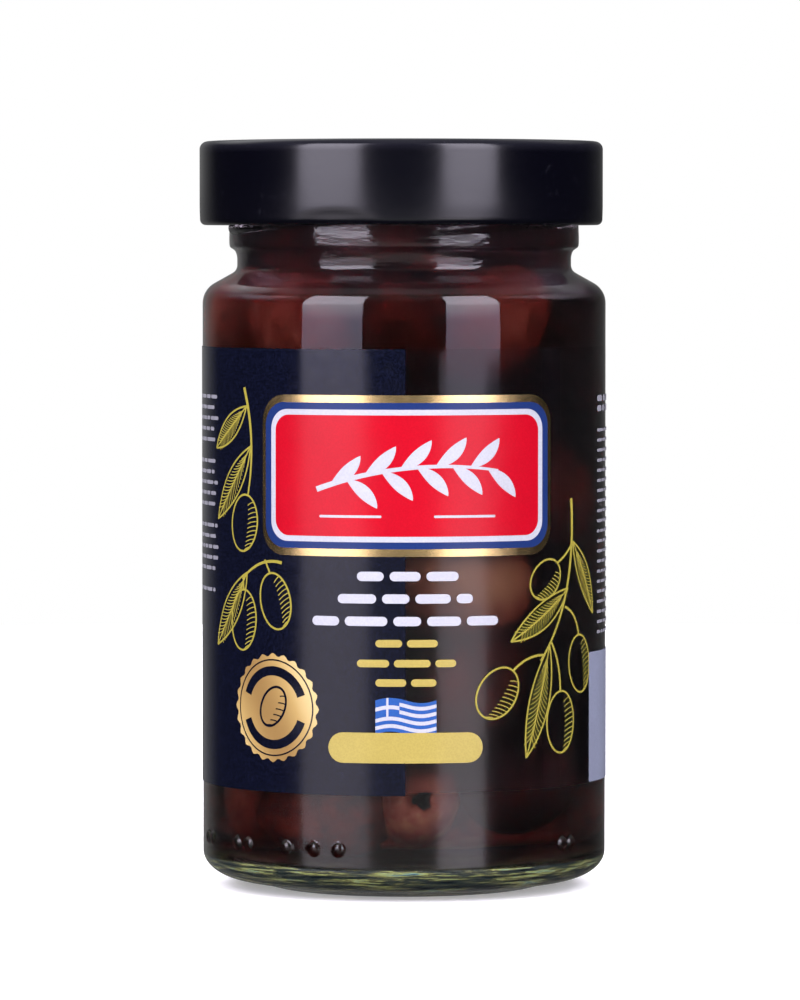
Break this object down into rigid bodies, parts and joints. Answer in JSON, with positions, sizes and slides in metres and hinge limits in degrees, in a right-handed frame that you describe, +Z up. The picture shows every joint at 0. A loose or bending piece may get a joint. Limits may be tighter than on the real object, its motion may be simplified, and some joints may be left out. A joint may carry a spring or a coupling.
{
  "type": "jar of olives",
  "caption": "Clear glass jar of pitted dark olives with a black twist-off lid, a printed film label wrapped round the body and a row of raised dots above the heel.",
  "frame": {"origin": "centre of the foot, on the plane the jar stands on", "axes": "+Z up along the jar's axis, -Y out of the middle of the label's front, +X to the right of someone facing the label"},
  "size_m": [0.0674, 0.0674, 0.1225],
  "materials": {
    "clear_glass": "clear soda-lime container glass, polished, faintly green where it is thick",
    "black_lacquer": "satin black lacquer on pressed tinplate",
    "printed_film": "clear film printed in navy, red, gold and white, smooth and slightly glossy",
    "olive_flesh": null
  },
  "bodies": {
    "root": {"glass_jar": "clear_glass", "lid": "black_lacquer", "label_film": "printed_film", "olives": "olive_flesh"}
  },
  "joints": []
}
